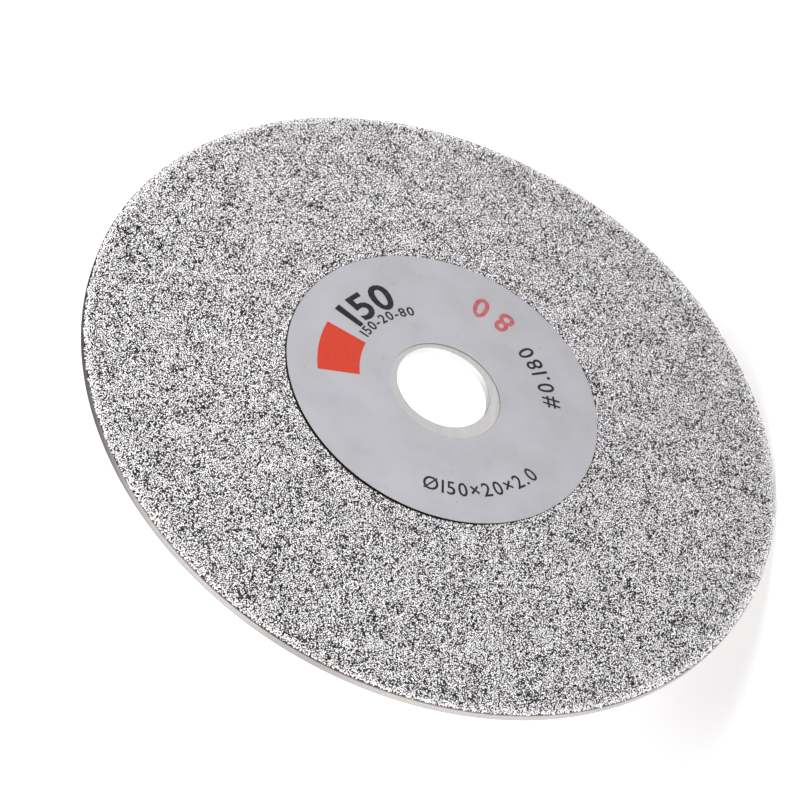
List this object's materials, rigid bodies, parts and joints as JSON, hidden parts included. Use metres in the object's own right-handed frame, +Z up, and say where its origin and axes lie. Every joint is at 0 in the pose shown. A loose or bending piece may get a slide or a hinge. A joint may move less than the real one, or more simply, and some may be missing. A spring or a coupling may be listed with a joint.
{
  "type": "electroplated diamond flat lap disc",
  "caption": "Thin round steel disc with a plain arbor hole, a nickel-bonded diamond grit ring on one face and a round paper label in the middle.",
  "frame": {"origin": "centre of the arbor hole, halfway through the steel blank", "axes": "+Y along the spindle, from the working face to the back; the diamond-coated working face looks along -Y and the disc stands upright, +Z up"},
  "size_m": [0.15, 0.002, 0.15],
  "materials": {
    "plated_steel": "satin",
    "nickel": "satin",
    "diamond_grit": "satin",
    "glue_film": "matte",
    "label_paper": "satin"
  },
  "bodies": {
    "root": {"core_plate": "plated_steel", "nickel_bond": "nickel", "diamond_grit": "diamond_grit", "label_adhesive": "glue_film", "label_sheet": "label_paper"}
  },
  "joints": []
}
